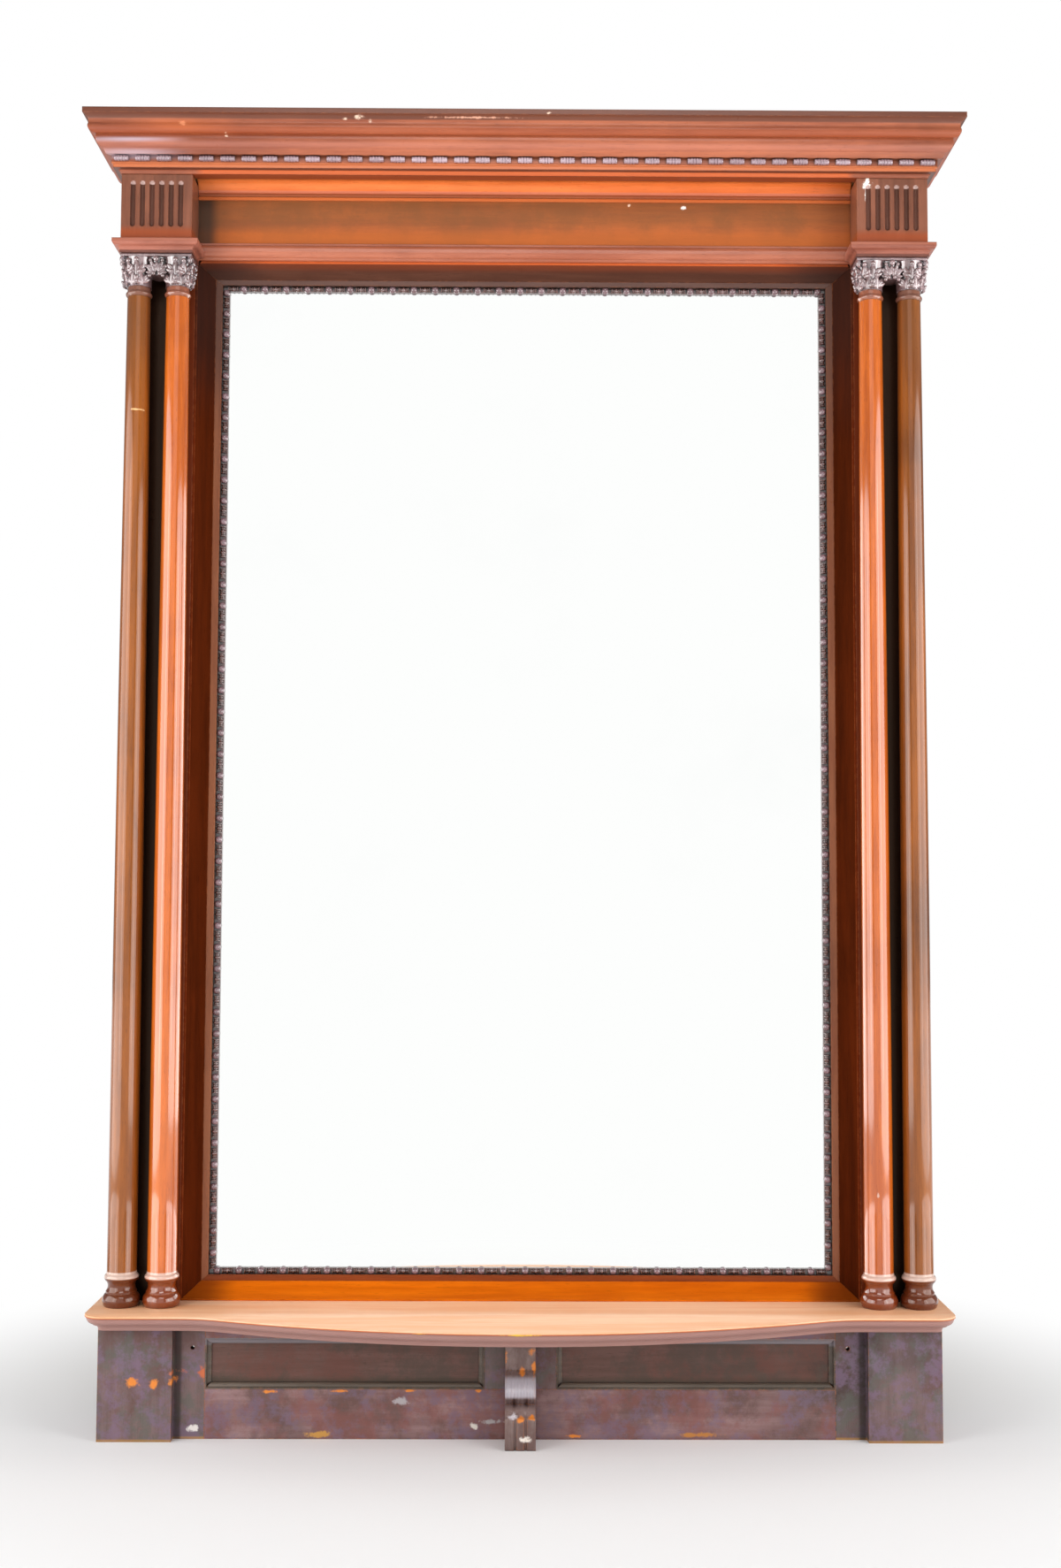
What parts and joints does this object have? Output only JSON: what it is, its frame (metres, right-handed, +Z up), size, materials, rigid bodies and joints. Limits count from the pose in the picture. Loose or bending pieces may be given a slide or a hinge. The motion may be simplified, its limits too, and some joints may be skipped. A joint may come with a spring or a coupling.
{
  "type": "pier mirror",
  "caption": "Tall standing pier mirror in dark mahogany with paired turned columns, fluted frieze blocks, moulded cornice and a low panelled base with a bow-fronted shelf",
  "frame": {"origin": "on the floor, under the middle of the part's bounding box", "axes": "+Z up, -Y is the front that shows the looking glass, +Y is the wall, +X is the viewer's right"},
  "size_m": [1.524, 0.294, 2.26],
  "materials": {
    "mirror_plate": "silvered glass",
    "polished_mahogany": "old french polish, orange-red over brown",
    "carved_mahogany": "polished carving with dark recesses",
    "turned_mahogany": "turned and glossy",
    "sight_slip": "dark ebonised bead with worn highlights",
    "base_mahogany": "darkened and worn",
    "carcass_pine": "raw softwood, unfinished"
  },
  "bodies": {
    "root": {"mirror_glass": "mirror_plate", "sight_left": "sight_slip", "sight_right": "sight_slip", "sight_head": "sight_slip", "sight_foot": "sight_slip", "frame_left": "polished_mahogany", "frame_right": "polished_mahogany", "frame_head": "polished_mahogany", "frame_foot": "polished_mahogany", "stile_left": "carcass_pine", "stile_right": "carcass_pine", "head_rail": "carcass_pine", "foot_rail": "carcass_pine", "field_board_left": "polished_mahogany", "field_board_right": "polished_mahogany", "side_board_left": "polished_mahogany", "side_board_right": "polished_mahogany", "back_boards": "carcass_pine", "glazing_blocks": "carcass_pine", "frieze_board": "polished_mahogany", "frieze_foot_moulding": "polished_mahogany", "frieze_crown_moulding": "polished_mahogany", "frieze_block_left": "carved_mahogany", "frieze_block_right": "carved_mahogany", "abacus_left": "polished_mahogany", "abacus_right": "polished_mahogany", "capital_left": "carved_mahogany", "capital_right": "carved_mahogany", "column_outer_left": "turned_mahogany", "column_inner_left": "turned_mahogany", "column_outer_right": "turned_mahogany", "column_inner_right": "turned_mahogany", "cornice_front": "polished_mahogany", "cornice_left": "polished_mahogany", "cornice_right": "polished_mahogany", "bead_course_front": "sight_slip", "bead_course_right": "sight_slip", "bead_course_left": "sight_slip", "shelf_board": "polished_mahogany", "base_stile_left": "base_mahogany", "base_stile_right": "base_mahogany", "base_head_rail": "base_mahogany", "base_foot_rail": "base_mahogany", "base_muntin": "base_mahogany", "base_panel_left": "base_mahogany", "base_panel_right": "base_mahogany", "base_side_left": "base_mahogany", "base_side_right": "base_mahogany", "plinth_block_left": "base_mahogany", "plinth_block_right": "base_mahogany", "panel_moulding_left": "base_mahogany", "panel_moulding_right": "base_mahogany", "centre_bracket": "carved_mahogany", "base_corner_blocks": "carcass_pine", "base_back_rail": "carcass_pine", "soffit_board": "carcass_pine", "cornice_top_board": "carcass_pine", "cornice_blocks": "carcass_pine"}
  },
  "joints": []
}
